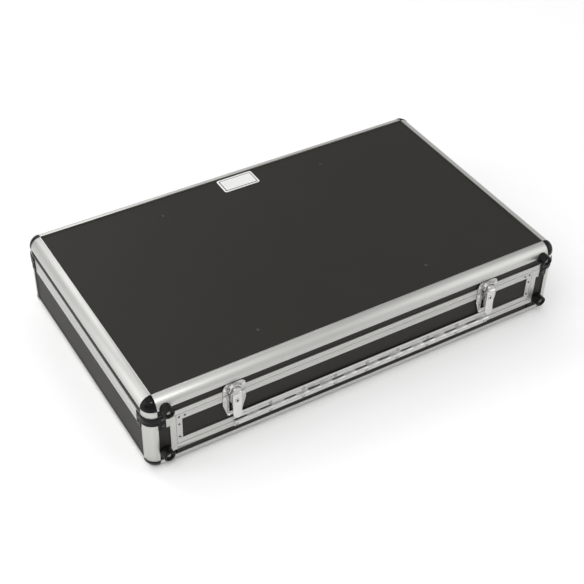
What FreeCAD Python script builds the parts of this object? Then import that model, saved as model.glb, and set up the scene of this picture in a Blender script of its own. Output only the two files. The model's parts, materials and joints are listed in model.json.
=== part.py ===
import FreeCAD, Part
import math
import os

V = FreeCAD.Vector

# Flight case for effect pedals: a base, a lid hinged at the back and a drop-down front flap.
# X runs along the front, Y towards the back, Z up. The origin is on the floor, under the
# middle of the case. All sizes are millimetres.

# ---- overall sizes
case_width = 750.0
case_depth = 450.0
case_height = 141.0
lid_split_drop = 41.0
floor_foot_height = 4.0

# ---- boards and aluminium profiles
board_thickness = 6.0
board_recess = 2.0
edge_leg = 18.5
edge_slot = 6.0
profile_lip = 1.5
rim_slot = 4.0
lid_rim_height = 9.5
base_rim_height = 16.5
tongue_height = 3.0
tongue_width = 3.0
tongue_clearance = 0.5
tongue_inset = 4.0
split_gap = 0.3
profile_chamfer = 0.6

# ---- corners
ball_proud = 0.6
ball_wall = 2.6
band_thickness = 1.5
band_wing = 12.0
base_band_height = 5.0
wing_rivet_inset = 5.0

# ---- front flap and its opening
cheek_width = 18.5
frame_width = 9.5
flap_side_gap = 0.5
flap_top_rail = 11.0
flap_axis_drop = 101.5
flap_bottom_gap = 0.5
sill_trim_height = 10.0
sill_trim_gap = 0.5
stop_lip_height = 5.0
stop_lip_thickness = 1.5
stop_lip_gap = 0.4

# ---- piano hinge
piano_length = 476.4
piano_shift = 4.4
piano_leaf = 1.2
piano_barrel_radius = 2.75
piano_pin_radius = 1.2
piano_knuckle_pitch = 41.6
piano_upper_height = 16.0
piano_lower_height = 11.0
piano_screw_pitch = 58.4
piano_screw_margin = 4.5
knuckle_gap = 0.2
barrel_offset = 0.2
barrel_notch_gap = 1.3
running_clearance = 0.06

# ---- latches
latch_spacing = 466.0
latch_plate = 1.2
catch_width = 38.0
catch_top_gap = 1.0
latch_split_gap = 0.4
arch_outer_radius = 12.0
arch_wall = 3.0
arch_proud = 7.0
arch_centre_rise = 8.5
ear_thickness = 1.5
ear_gap = 0.15
latch_pivot_out = 6.5
latch_pivot_rise = 3.2
latch_pin_radius = 1.5
nose_half = 7.0
nose_gap = 0.5
nose_out = 10.6
lever_width = 15.0
lever_wall = 1.2
lever_out = 11.2
lever_wall_end = 2.4
lever_body_length = 30.0
lever_tab_length = 15.0
lever_tab_flare = 2.0
mount_top_width = 39.0
mount_bottom_width = 25.0
mount_hinge_gap = 1.0
mount_straight = 18.0
staple_width = 6.0
staple_out = 6.0
staple_length = 9.0
staple_below_split = 22.0
lock_below_split = 7.5
lock_radius = 3.4
lock_proud = 0.7
lock_depth = 3.6
lock_boss_wall = 1.3
key_slot_width = 1.2
key_slot_length = 4.2
cam_length = 5.6
cam_width = 3.0
cam_thickness = 1.0

# ---- rear hinges
rear_hinge_spacing = 470.0
rear_hinge_width = 56.0
rear_knuckles = 5
rear_leaf = 1.2
rear_leaf_height = 9.0
rear_barrel_radius = 2.6
rear_pin_radius = 1.3

# ---- feet
front_foot_radius = 9.0
front_foot_height = 14.0
upper_foot_from_post = 12.5
upper_foot_drop = 17.5
lower_foot_drop = 105.5
foot_seat_gap = 0.1
foot_recess_radius = 5.0
foot_recess_depth = 3.2
floor_foot_radius = 10.0
floor_foot_inset = 45.0

# ---- handle on the back wall
handle_span = 128.0
handle_below_split = 36.0
handle_pivot_out = 7.8
handle_bar_radius = 3.0
handle_leg = 34.0
grip_length = 84.0
grip_height = 20.0
grip_inner_gap = 1.6
bracket_width = 24.0
bracket_height = 34.0
bracket_plate = 1.5
bracket_block_width = 12.0
bracket_block_height = 14.0
handle_bend_radius = 9.0
handle_stub_bend = 4.5
handle_stub_depth = 8.0
handle_side_gap = 0.4
grip_corner = 5.0

# ---- deck, lining and small parts
deck_thickness = 9.0
deck_top_above_board = 31.0
deck_edge_gap = 1.0
riser_width = 18.0
riser_inset = 60.0
carpet_thickness = 2.6
carpet_margin = 8.0
grommet_hole_radius = 22.0
grommet_wall = 2.0
grommet_lip = 3.0
grommet_lip_height = 1.8
grommet_inset_x = 96.0
grommet_inset_y = 52.0
foam_thickness = 24.0
foam_margin = 6.0
badge_width = 68.0
badge_depth = 36.0
badge_thickness = 1.2
badge_corner = 4.0
badge_from_back = 40.5
lid_screw_x = 155.0
lid_screw_y = 161.0

# ---- fasteners
rivet_radius = 1.6
rivet_head_radius = 2.9
rivet_head_height = 1.0
screw_radius = 1.9
screw_head_radius = 3.4
screw_head_height = 1.4
foot_screw_radius = 2.2
foot_screw_head_radius = 4.0
fastener_clearance = 0.05
fastener_grip = 5.0

# ---- levels and planes worked out from the sizes above
half_width = case_width / 2
half_depth = case_depth / 2
base_bottom = floor_foot_height
case_top = base_bottom + case_height
split_z = case_top - lid_split_drop
inner_x = half_width - edge_leg
inner_y = half_depth - edge_leg
board_inner = board_recess + board_thickness
profile_depth = board_inner + profile_lip
lid_rim_top = split_z + lid_rim_height
base_rim_bottom = split_z - base_rim_height
opening_x = half_width - edge_leg - cheek_width
flap_half = opening_x - frame_width - flap_side_gap
flap_axis_z = case_top - flap_axis_drop
flap_bottom = flap_axis_z + flap_bottom_gap
flap_top = split_z - split_gap
sill_trim_top = flap_axis_z - sill_trim_gap
sill_trim_bottom = sill_trim_top - sill_trim_height
floor_board_top = base_bottom + board_inner
deck_top = floor_board_top + deck_top_above_board
latch_x = latch_spacing / 2
front_face = -half_depth
back_face = half_depth

nodes = {}


def box(xa, xb, ya, yb, za, zb):
    low = V(min(xa, xb), min(ya, yb), min(za, zb))
    return Part.makeBox(abs(xb - xa), abs(yb - ya), abs(zb - za), low)


def rod(radius, length, start, direction):
    return Part.makeCylinder(radius, length, start, direction)


def joined(shapes):
    result = shapes[0]
    if len(shapes) > 1:
        result = result.fuse(shapes[1:])
    return result.removeSplitter()


def group(shapes):
    solids = []
    for shape in shapes:
        solids.extend(shape.Solids)
    return Part.makeCompound(solids)


def mirror_x(shape):
    return shape.mirror(V(0, 0, 0), V(1, 0, 0))


def mirror_y(shape):
    return shape.mirror(V(0, 0, 0), V(0, 1, 0))


def both_sides(shape):
    return [shape, mirror_x(shape)]


def four_corners(shape):
    pair = both_sides(shape)
    return pair + [mirror_y(piece) for piece in pair]


def outline_face(points, place):
    """A face from flat points, each joined to the next by a line, or by an arc where a
    middle point is given."""
    edges = []
    count = len(points)
    for i in range(count):
        here = points[i]
        after = points[(i + 1) % count]
        start = place(here[0], here[1])
        end = place(after[0], after[1])
        if len(here) == 4:
            edges.append(Part.Arc(start, place(here[2], here[3]), end).toShape())
        else:
            edges.append(Part.makeLine(start, end))
    return Part.Face(Part.Wire(edges))


def bar(points, origin, out_dir, up_dir, run):
    """A straight profile: flat points (out, up) from an origin, extruded along run."""

    def place(out, up):
        return origin + out_dir * out + up_dir * up

    return outline_face(points, place).extrude(run)


# ---- edge and post profile: a quarter-round with two slots that grip the boards
def edge_points():
    leg = edge_leg
    face = leg - board_recess
    inner = face - board_thickness
    lip = inner - profile_lip
    middle = leg * math.sqrt(0.5)
    return [
        (leg, 0, middle, middle),
        (0, leg),
        (0, face),
        (edge_slot, face),
        (edge_slot, inner),
        (0, inner),
        (0, lip),
        (lip, lip),
        (lip, 0),
        (inner, 0),
        (inner, edge_slot),
        (face, edge_slot),
        (face, 0),
    ]


def edge_along_x(z_centre, up):
    origin = V(-inner_x, -inner_y, z_centre)
    return bar(edge_points(), origin, V(0, -1, 0), V(0, 0, up), V(2 * inner_x, 0, 0))


def edge_along_y(z_centre, up):
    origin = V(inner_x, -inner_y, z_centre)
    return bar(edge_points(), origin, V(1, 0, 0), V(0, 0, up), V(0, 2 * inner_y, 0))


def corner_post(z0, z1):
    origin = V(inner_x, -inner_y, z0)
    return bar(edge_points(), origin, V(1, 0, 0), V(0, -1, 0), V(0, 0, z1 - z0))


def ball_corner(z_centre, up):
    """An eighth of a hollow ball, closed by its three flat sides."""
    centre = V(inner_x, -inner_y, z_centre)
    radius = edge_leg + ball_proud
    outer = Part.makeSphere(radius, centre)
    hollow = Part.makeSphere(radius - ball_wall, centre)
    reach = radius + 1
    low = z_centre if up > 0 else z_centre - reach
    octant = box(inner_x, inner_x + reach, -inner_y - reach, -inner_y, low, low + reach)
    return outer.common(octant).cut(hollow)


# ---- boards with their corners notched out, so that the edges slide into the profile slots
def board_flat(z0):
    x1 = inner_x + edge_slot
    y1 = inner_y + edge_slot
    z1 = z0 + board_thickness
    return joined([box(-x1, x1, -inner_y, inner_y, z0, z1), box(-inner_x, inner_x, -y1, y1, z0, z1)])


def board_front(half, z0, z1, slot_low, slot_high):
    """An upright board in the front wall, from -half to half between its slots."""
    y0 = front_face + board_recess
    y1 = y0 + board_thickness
    long = box(-half - edge_slot, half + edge_slot, y0, y1, z0, z1)
    tall = box(-half, half, y0, y1, z0 - slot_low, z1 + slot_high)
    return joined([long, tall])


def board_side(z0, z1, slot_low, slot_high):
    x1 = half_width - board_recess
    x0 = x1 - board_thickness
    long = box(x0, x1, -inner_y - edge_slot, inner_y + edge_slot, z0, z1)
    tall = box(x0, x1, -inner_y, inner_y, z0 - slot_low, z1 + slot_high)
    return joined([long, tall])


lid_wall_low = lid_rim_top
lid_wall_high = case_top - edge_leg
base_wall_low = base_bottom + edge_leg
base_wall_high = base_rim_bottom

nodes["lid_top_board"] = board_flat(case_top - board_inner)
lid_front_board = board_front(inner_x, lid_wall_low, lid_wall_high, rim_slot, edge_slot)
nodes["lid_long_boards"] = group([lid_front_board, mirror_y(lid_front_board)])
nodes["lid_side_boards"] = group(both_sides(board_side(lid_wall_low, lid_wall_high, rim_slot, edge_slot)))
nodes["base_floor_board"] = board_flat(base_bottom + board_recess)
nodes["base_back_board"] = mirror_y(board_front(inner_x, base_wall_low, base_wall_high, edge_slot, rim_slot))
nodes["base_side_boards"] = group(both_sides(board_side(base_wall_low, base_wall_high, edge_slot, rim_slot)))



def edge_ring(z_centre, up):
    long = edge_along_x(z_centre, up)
    return group([long, mirror_y(long)] + both_sides(edge_along_y(z_centre, up)))


nodes["lid_edges"] = edge_ring(lid_wall_high, 1)
nodes["base_edges"] = edge_ring(base_wall_low, -1)
nodes["lid_corner_posts"] = group(four_corners(corner_post(split_z, case_top - edge_leg)))
nodes["base_corner_posts"] = group(four_corners(corner_post(base_wall_low, split_z - split_gap)))
nodes["lid_ball_corners"] = group(four_corners(ball_corner(case_top - edge_leg, 1)))
nodes["base_ball_corners"] = group(four_corners(ball_corner(base_wall_low, -1)))


# ---- rim profiles where the lid meets the base; depth is measured inwards from the face
def lid_rim_points():
    top = lid_rim_height
    groove = tongue_height + tongue_clearance
    wall = tongue_inset - tongue_clearance
    far = tongue_inset + tongue_width + tongue_clearance
    cut = profile_chamfer
    return [
        (0, cut),
        (0, top),
        (board_recess, top),
        (board_recess, top - rim_slot),
        (board_inner, top - rim_slot),
        (board_inner, top),
        (profile_depth, top),
        (profile_depth, 0),
        (far, 0),
        (far, groove),
        (wall, groove),
        (wall, 0),
        (cut, 0),
    ]


def base_rim_points():
    top = -split_gap
    low = -base_rim_height
    rise = tongue_height
    cut = profile_chamfer
    return [
        (0, low),
        (0, top - cut),
        (cut, top),
        (tongue_inset, top),
        (tongue_inset, rise),
        (tongue_inset + tongue_width, rise),
        (tongue_inset + tongue_width, top),
        (profile_depth, top),
        (profile_depth, low),
        (board_inner, low),
        (board_inner, low + rim_slot),
        (board_recess, low + rim_slot),
        (board_recess, low),
    ]


def rim_front(points, x0, x1):
    return bar(points, V(x0, front_face, split_z), V(0, 1, 0), V(0, 0, 1), V(x1 - x0, 0, 0))


def rim_side(points):
    return bar(points, V(half_width, -inner_y, split_z), V(-1, 0, 0), V(0, 0, 1), V(0, 2 * inner_y, 0))


stop_y0 = front_face + profile_depth + stop_lip_gap
stop_y1 = stop_y0 + stop_lip_thickness
stop_foot = box(
    -flap_half, flap_half, front_face + profile_depth, stop_y1, split_z, split_z + 2 * profile_lip)
stop_lip = box(-flap_half, flap_half, stop_y0, stop_y1, split_z - stop_lip_height, split_z + 2 * profile_lip)
lid_front_rim = joined([rim_front(lid_rim_points(), -inner_x, inner_x), stop_foot, stop_lip])
nodes["lid_rim_front"] = lid_front_rim
lid_back_rim = mirror_y(rim_front(lid_rim_points(), -inner_x, inner_x))
base_back_rim = mirror_y(rim_front(base_rim_points(), -inner_x, inner_x))
nodes["lid_rims"] = group([lid_back_rim] + both_sides(rim_side(lid_rim_points())))
nodes["base_rims"] = group([base_back_rim] + both_sides(rim_side(base_rim_points())))
nodes["base_rims_front"] = group(both_sides(rim_front(base_rim_points(), opening_x, inner_x)))


# ---- black corner bands that wrap the posts at the split
def corner_band(z0, z1, wing_z0, wing_z1):
    """A quarter ring round a post with a flat wing over the rim on each face."""
    centre = V(inner_x, -inner_y, z0)
    ring = rod(edge_leg + band_thickness, z1 - z0, centre, V(0, 0, 1))
    ring = ring.cut(rod(edge_leg, z1 - z0, centre, V(0, 0, 1)))
    reach = edge_leg + band_thickness + 1
    ring = ring.common(box(inner_x, inner_x + reach, -inner_y - reach, -inner_y, z0, z1))
    front = box(inner_x - band_wing, inner_x, front_face - band_thickness, front_face, wing_z0, wing_z1)
    side_x = half_width
    side = box(side_x, side_x + band_thickness, -inner_y, -inner_y + band_wing, wing_z0, wing_z1)
    return joined([ring, front, side])


lid_band = corner_band(split_z, lid_rim_top, split_z, lid_rim_top)
base_band_top = split_z - split_gap
base_band = corner_band(base_band_top - base_band_height, base_band_top, base_rim_bottom, base_band_top)
nodes["lid_corner_bands"] = group(four_corners(lid_band))
nodes["base_corner_bands"] = group(four_corners(base_band))

# ---- front of the base: cheeks, sill and the trim round the flap's opening
front_y0 = front_face + board_recess
front_y1 = front_y0 + board_thickness
trim_web = frame_width - edge_slot
cheek_x0 = opening_x - edge_slot
cheek_low = base_wall_low - edge_slot
cheek = joined([
    box(cheek_x0, inner_x + edge_slot, front_y0, front_y1, base_wall_low, base_rim_bottom),
    box(opening_x, inner_x, front_y0, front_y1, cheek_low, base_rim_bottom + rim_slot),
])
nodes["base_cheek_boards"] = group(both_sides(cheek))
sill_half = cheek_x0 - trim_web
nodes["base_sill_board"] = box(
    -sill_half, sill_half, front_y0, front_y1, cheek_low, sill_trim_bottom + edge_slot)

trim_back = front_face + profile_depth
trim_post = box(opening_x - frame_width, opening_x, front_face, trim_back, sill_trim_bottom, flap_top)
trim_post = trim_post.cut(box(cheek_x0, opening_x, front_y0, front_y1, sill_trim_bottom, flap_top))
trim_rail = box(-sill_half, sill_half, front_face, trim_back, sill_trim_bottom, sill_trim_top)
sill_slot = box(-sill_half, sill_half, front_y0, front_y1, sill_trim_bottom, sill_trim_bottom + edge_slot)
trim_rail = trim_rail.cut(sill_slot)
nodes["flap_opening_trim"] = group(both_sides(trim_post) + [trim_rail])

# ---- front flap: a board in a four-sided frame with mitred lower corners


def flap_frame_bar(points_xz):
    def place(x, z):
        return V(x, front_face, z)

    return outline_face(points_xz, place).extrude(V(0, profile_depth, 0))


rail_low = flap_top - flap_top_rail
rail_in = flap_bottom + frame_width
stile_in = flap_half - frame_width
flap_slot_x = stile_in + edge_slot
flap_board = box(-flap_slot_x, flap_slot_x, front_y0, front_y1, rail_in - edge_slot, rail_low + edge_slot)
top_rail = flap_frame_bar([
    (-flap_half, rail_low),
    (flap_half, rail_low),
    (flap_half, flap_top),
    (-flap_half, flap_top),
])
bottom_rail = flap_frame_bar([
    (-flap_half, flap_bottom),
    (flap_half, flap_bottom),
    (stile_in, rail_in),
    (-stile_in, rail_in),
])
stile = flap_frame_bar([
    (flap_half, flap_bottom),
    (flap_half, rail_low),
    (stile_in, rail_low),
    (stile_in, rail_in),
])
nodes["flap_board"] = flap_board
nodes["flap_top_rail"] = top_rail.cut(flap_board)
nodes["flap_bottom_rail"] = bottom_rail.cut(flap_board)
nodes["flap_stiles"] = group([piece.cut(flap_board) for piece in both_sides(stile)])


# ---- leaf hinges: a flat leaf with every other knuckle, bored for a common pin
def hinge_leaf(x0, x1, knuckles, first, up, height, face, out, radius, pin, plate, axis_z):
    width = (x1 - x0) / knuckles
    axis_y = face + out * (radius + barrel_offset)
    notch = radius + barrel_notch_gap
    outer = face + out * plate
    pieces = [box(x0, x1, face, outer, axis_z + up * notch, axis_z + up * height)]
    for i in range(first, knuckles, 2):
        start = x0 + i * width + knuckle_gap / 2
        end = start + width - knuckle_gap
        pieces.append(box(start, end, face, outer, axis_z, axis_z + up * notch))
        pieces.append(rod(radius, end - start, V(start, axis_y, axis_z), V(1, 0, 0)))
    leaf = joined(pieces)
    return leaf.cut(rod(pin + running_clearance, x1 - x0, V(x0, axis_y, axis_z), V(1, 0, 0)))


def hinge_pin(x0, x1, face, out, radius, pin, axis_z):
    axis_y = face + out * (radius + barrel_offset)
    return rod(pin, x1 - x0, V(x0, axis_y, axis_z), V(1, 0, 0))


piano_x0 = piano_shift - piano_length / 2
piano_x1 = piano_shift + piano_length / 2
piano_knuckles = 2 * round(piano_length / piano_knuckle_pitch)
piano_upper = (1, 1, piano_upper_height, front_face, -1, piano_barrel_radius, piano_pin_radius, piano_leaf)
piano_lower = (0, -1, piano_lower_height, front_face, -1, piano_barrel_radius, piano_pin_radius, piano_leaf)
nodes["piano_hinge_upper_leaf"] = hinge_leaf(piano_x0, piano_x1, piano_knuckles, *piano_upper, flap_axis_z)
nodes["piano_hinge_lower_leaf"] = hinge_leaf(piano_x0, piano_x1, piano_knuckles, *piano_lower, flap_axis_z)
nodes["piano_hinge_pin"] = hinge_pin(
    piano_x0, piano_x1, front_face, -1, piano_barrel_radius, piano_pin_radius, flap_axis_z)

rear_x0 = rear_hinge_spacing / 2 - rear_hinge_width / 2
rear_x1 = rear_hinge_spacing / 2 + rear_hinge_width / 2
rear_lid = (1, 1, rear_leaf_height, back_face, 1, rear_barrel_radius, rear_pin_radius, rear_leaf)
rear_base = (0, -1, rear_leaf_height, back_face, 1, rear_barrel_radius, rear_pin_radius, rear_leaf)
rear_lid_leaf = hinge_leaf(rear_x0, rear_x1, rear_knuckles, *rear_lid, split_z)
rear_base_leaf = hinge_leaf(rear_x0, rear_x1, rear_knuckles, *rear_base, split_z)
rear_pin = hinge_pin(rear_x0, rear_x1, back_face, 1, rear_barrel_radius, rear_pin_radius, split_z)
nodes["rear_hinge_lid_leaves"] = group(both_sides(rear_lid_leaf))
nodes["rear_hinge_base_leaves"] = group(both_sides(rear_base_leaf))
nodes["rear_hinge_pins"] = group(both_sides(rear_pin))

# ---- latches: drawn on the middle plane x = 0, then moved out to each side.
# Heights are measured from the split and reaches outwards from the front face.
pivot_z = split_z + latch_pivot_rise
pivot_y = front_face - latch_pivot_out


def front_plate(points, reach_in, reach_out):
    """A flat piece on the front: points (x, height above the split), between two reaches."""

    def place(x, height):
        return V(x, front_face - reach_in, split_z + height)

    return outline_face(points, place).extrude(V(0, reach_in - reach_out, 0))


def side_piece(points, x0, x1):
    """A piece drawn in side view about the lever's pivot: points (reach, height)."""

    def place(reach, height):
        return V(x0, pivot_y - reach, pivot_z + height)

    return outline_face(points, place).extrude(V(x1 - x0, 0, 0))


catch_half = catch_width / 2
catch_top = lid_split_drop - edge_leg - catch_top_gap
shoulder = catch_top / 2
catch_plate = front_plate([
    (-catch_half, latch_split_gap),
    (catch_half, latch_split_gap),
    (catch_half, shoulder, catch_half - 2.2, catch_top - 3.2),
    (arch_outer_radius, catch_top),
    (-arch_outer_radius, catch_top, 2.2 - catch_half, catch_top - 3.2),
    (-catch_half, shoulder),
], 0, latch_plate)
arch_centre = V(0, front_face - latch_plate, split_z + arch_centre_rise)
arch = rod(arch_outer_radius, arch_proud - latch_plate, arch_centre, V(0, -1, 0))
arch_bore = rod(arch_outer_radius - arch_wall, arch_proud, arch_centre, V(0, -1, 0))
arch_half = box(-catch_half, catch_half, front_face, front_face - arch_proud, arch_centre.z, case_top)
arch = arch.cut(arch_bore).common(arch_half)
lever_radius = lever_out - latch_pivot_out
nose_low = latch_pivot_rise + lever_radius + nose_gap
nose_round = nose_low + profile_lip
nose = front_plate([
    (-nose_half, nose_low),
    (nose_half, nose_low),
    (nose_half, nose_round, 0, nose_round + nose_half),
    (-nose_half, nose_round),
], latch_plate / 2, nose_out)
lever_half = lever_width / 2
ear_x0 = lever_half + ear_gap
ear_radius = latch_pivot_rise - latch_split_gap
catch = joined([catch_plate, arch, nose])
pin_length = 2 * (ear_x0 + ear_thickness)
pivot_start = V(-pin_length / 2, pivot_y, pivot_z)
pivot_bore = rod(latch_pin_radius + running_clearance, pin_length, pivot_start, V(1, 0, 0))
latch_pin = rod(latch_pin_radius, pin_length, pivot_start, V(1, 0, 0))

wall_end = lever_wall_end - latch_pivot_out
wall_top = math.sqrt(lever_radius ** 2 - wall_end ** 2)
half_turn = math.atan2(wall_top, wall_end) / 2
wall_corner = lever_wall * 2
lever_shell = side_piece([
    (lever_radius, 0, lever_radius * math.cos(half_turn), lever_radius * math.sin(half_turn)),
    (wall_end, wall_top),
    (wall_end, wall_corner - lever_body_length),
    (wall_end + wall_corner, -lever_body_length),
    (lever_radius, -lever_body_length),
], -lever_half, lever_half)
pocket_half = lever_half - lever_wall
pocket_reach = lever_radius - lever_wall
pocket_start = V(-pocket_half, pivot_y, pivot_z)
pocket_round = rod(pocket_reach, 2 * pocket_half, pocket_start, V(1, 0, 0))
pocket_long = side_piece([
    (-lever_out, pocket_reach),
    (-lever_out, -lever_body_length),
    (pocket_reach, -lever_body_length),
    (pocket_reach, 0),
    (0, pocket_reach),
], -pocket_half, pocket_half)
tab_low = -lever_body_length - lever_tab_length
tab = side_piece([
    (pocket_reach, -lever_body_length),
    (lever_radius, -lever_body_length),
    (lever_radius + lever_tab_flare, tab_low),
    (pocket_reach + lever_tab_flare, tab_low),
], -lever_half, lever_half)
tab_rise = latch_pivot_rise + tab_low
tab_outline = front_plate([
    (-lever_half, latch_pivot_rise - lever_body_length),
    (-lever_half, tab_rise + lever_half, 0, tab_rise),
    (lever_half, tab_rise + lever_half),
    (lever_half, latch_pivot_rise - lever_body_length),
], latch_plate, lever_out + 2 * lever_tab_flare)
lock_height = -lock_below_split
lock_inner = lever_out - lock_depth
lock_start = V(0, front_face - lock_inner, split_z + lock_height)
out = V(0, -1, 0)
lock_bore_radius = lock_radius + fastener_clearance
boss = rod(lock_bore_radius + lock_boss_wall, lock_depth - lever_wall / 2, lock_start, out)
lock_bore = rod(lock_bore_radius, lock_depth + lever_wall, lock_start, out)
lever = lever_shell.cut(joined([pocket_round, pocket_long]))
lever = joined([lever, tab.common(tab_outline), boss]).cut(joined([lock_bore])).cut(pivot_bore)

key_face = lever_out + lock_proud
plug = rod(lock_radius, lock_depth + lock_proud, lock_start, out)
key_slot = front_plate([
    (-key_slot_width / 2, lock_height - key_slot_length / 2),
    (key_slot_width / 2, lock_height - key_slot_length / 2),
    (key_slot_width / 2, lock_height + key_slot_length / 2),
    (-key_slot_width / 2, lock_height + key_slot_length / 2),
], lock_inner + 1, key_face)
cam = front_plate([
    (-cam_width / 2, lock_height - cam_width / 2),
    (cam_length, lock_height - cam_width / 2),
    (cam_length, lock_height + cam_width / 2),
    (-cam_width / 2, lock_height + cam_width / 2),
], lock_inner - cam_thickness, lock_inner)
lock_plug = joined([plug.cut(key_slot), cam])

mount_drop = split_z - flap_axis_z - piano_upper_height - mount_hinge_gap
mount_half = mount_top_width / 2
mount_foot = mount_bottom_width / 2
mount_top = -split_gap - latch_split_gap
mount_plate = front_plate([
    (-mount_half, mount_top),
    (-mount_half, -mount_straight),
    (-mount_foot, 3 - mount_drop, 1 - mount_foot, 1 - mount_drop),
    (3 - mount_foot, -mount_drop),
    (mount_foot - 3, -mount_drop, mount_foot - 1, 1 - mount_drop),
    (mount_foot, 3 - mount_drop),
    (mount_half, -mount_straight),
    (mount_half, mount_top),
], 0, latch_plate)
staple_half = staple_width / 2
staple_top = -staple_below_split + staple_length / 2
staple_low = -staple_below_split - staple_length / 2
staple = front_plate([
    (-staple_half, staple_low),
    (staple_half, staple_low),
    (staple_half, staple_top),
    (-staple_half, staple_top),
], latch_plate / 2, staple_out)
rail_x = lever_half + 2 * ear_thickness
mount_rib = front_plate([
    (rail_x, -mount_straight * 2),
    (rail_x + ear_thickness, -mount_straight * 2),
    (rail_x + ear_thickness, 2 * mount_top - ear_thickness),
    (rail_x, 2 * mount_top - ear_thickness),
], latch_plate / 2, latch_plate + ear_thickness)
arm_back = latch_plate / 2 - latch_pivot_out
arm_step = mount_top - latch_pivot_rise
arm = side_piece([
    (arm_back, -mount_straight),
    (ear_radius, latch_pivot_out - mount_straight),
    (ear_radius, 0, 0, ear_radius),
    (-ear_radius, 0),
    (-ear_radius, arm_step),
    (arm_back, arm_step),
], ear_x0, ear_x0 + ear_thickness)
mount = joined([mount_plate, staple] + both_sides(mount_rib) + both_sides(arm)).cut(pivot_bore)


def at_latches(shape):
    pieces = []
    for side in (-1, 1):
        piece = shape.copy()
        piece.translate(V(side * latch_x, 0, 0))
        pieces.append(piece)
    return pieces


nodes["latch_catches"] = group(at_latches(catch))
nodes["latch_pins"] = group(at_latches(latch_pin))
nodes["latch_lever_left"], nodes["latch_lever_right"] = at_latches(lever)
nodes["lock_plug_left"], nodes["lock_plug_right"] = at_latches(lock_plug)
nodes["latch_mounts"] = group(at_latches(mount))


# ---- rubber feet: four on the front to stand the case on edge, four under the floor
def front_foot(x, z):
    start = V(x, front_face + board_recess, z)
    foot = rod(front_foot_radius, board_recess + front_foot_height, start, V(0, -1, 0))
    mouth = V(x, front_face - front_foot_height, z)
    foot = foot.cut(rod(foot_recess_radius, foot_recess_depth, mouth, V(0, 1, 0)))
    return foot


upper_foot_x = half_width - edge_leg - upper_foot_from_post
upper_foot_z = case_top - upper_foot_drop
lower_foot_x = (opening_x + inner_x) / 2
lower_foot_z = case_top - lower_foot_drop
lip_low = case_top - edge_leg - foot_seat_gap
edge_run = V(upper_foot_x - 2 * front_foot_radius, -inner_y, case_top - edge_leg)
edge_round = rod(edge_leg + foot_seat_gap, 4 * front_foot_radius, edge_run, V(1, 0, 0))
lip_seat = box(edge_run.x, half_width, -inner_y, front_face - foot_seat_gap, lip_low, case_top - edge_leg)
upper_foot = front_foot(upper_foot_x, upper_foot_z).cut(edge_round).cut(lip_seat)
nodes["front_feet_upper"] = group(both_sides(upper_foot))
nodes["front_feet_lower"] = group(both_sides(front_foot(lower_foot_x, lower_foot_z)))
floor_foot_x = half_width - floor_foot_inset
floor_foot_y = half_depth - floor_foot_inset
floor_foot = rod(floor_foot_radius, base_bottom + board_recess, V(floor_foot_x, -floor_foot_y, 0), V(0, 0, 1))
nodes["floor_feet"] = group(four_corners(floor_foot))

# ---- handle on the back wall: brackets, a bent steel bail and a moulded grip
handle_z = split_z - handle_below_split
handle_y = back_face + handle_pivot_out
bracket_x = handle_span / 2
wall_y = back_face - board_recess
bracket_y1 = wall_y + bracket_plate
block_half = bracket_block_width / 2
block_out = handle_y + handle_bar_radius + profile_lip
bracket_plate_solid = box(
    bracket_x - block_half, bracket_x - block_half + bracket_width, wall_y, bracket_y1,
    handle_z - bracket_height / 2, handle_z + bracket_height / 2)
bracket_block = box(
    bracket_x - block_half, bracket_x + block_half, wall_y, block_out,
    handle_z - bracket_block_height / 2, handle_z + bracket_block_height / 2)
stub_bore = rod(
    handle_bar_radius + running_clearance, handle_stub_depth + handle_side_gap,
    V(bracket_x - block_half - handle_side_gap, handle_y, handle_z), V(1, 0, 0))
bracket = joined([bracket_plate_solid, bracket_block]).cut(stub_bore)
nodes["handle_brackets"] = group(both_sides(bracket))


def round_cornered_path(points, radii, y):
    """A path of straight runs with a tangent arc at each square corner, in a plane of one y."""
    edges = []
    last = V(points[0][0], y, points[0][1])
    for i in range(1, len(points) - 1):
        corner = V(points[i][0], y, points[i][1])
        before = (corner - V(points[i - 1][0], y, points[i - 1][1])).normalize()
        after = (V(points[i + 1][0], y, points[i + 1][1]) - corner).normalize()
        radius = radii[i - 1]
        arc_start = corner - before * radius
        arc_end = corner + after * radius
        middle = corner + (after - before) * (radius * (1 - math.sqrt(0.5)))
        edges.append(Part.makeLine(last, arc_start))
        edges.append(Part.Arc(arc_start, middle, arc_end).toShape())
        last = arc_end
    edges.append(Part.makeLine(last, V(points[-1][0], y, points[-1][1])))
    return Part.Wire(edges)


leg_x = bracket_x - block_half - handle_side_gap - handle_stub_bend
stub_x = bracket_x - block_half + handle_stub_depth - handle_side_gap
grip_z = handle_z - handle_leg
bail_points = [
    (stub_x, handle_z),
    (leg_x, handle_z),
    (leg_x, grip_z),
    (-leg_x, grip_z),
    (-leg_x, handle_z),
    (-stub_x, handle_z),
]
bail_radii = [handle_stub_bend, handle_bend_radius, handle_bend_radius, handle_stub_bend]
bail_path = round_cornered_path(bail_points, bail_radii, handle_y)
bail_ring = Part.Wire(Part.makeCircle(handle_bar_radius, V(stub_x, handle_y, handle_z), V(1, 0, 0)))
nodes["handle_bail"] = bail_path.makePipeShell([bail_ring], True, False)
grip_outer = handle_y + handle_pivot_out - grip_inner_gap
grip = box(
    -grip_length / 2, grip_length / 2, back_face + grip_inner_gap, grip_outer,
    grip_z - grip_height / 2, grip_z + grip_height / 2)
grip = grip.makeFillet(grip_corner, [edge for edge in grip.Edges if edge.Length > grip_length - 1])
grip_end = V(-grip_length / 2, handle_y, grip_z)
grip_bore = rod(handle_bar_radius + fastener_clearance, grip_length, grip_end, V(1, 0, 0))
nodes["handle_grip"] = grip.cut(grip_bore)

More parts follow.
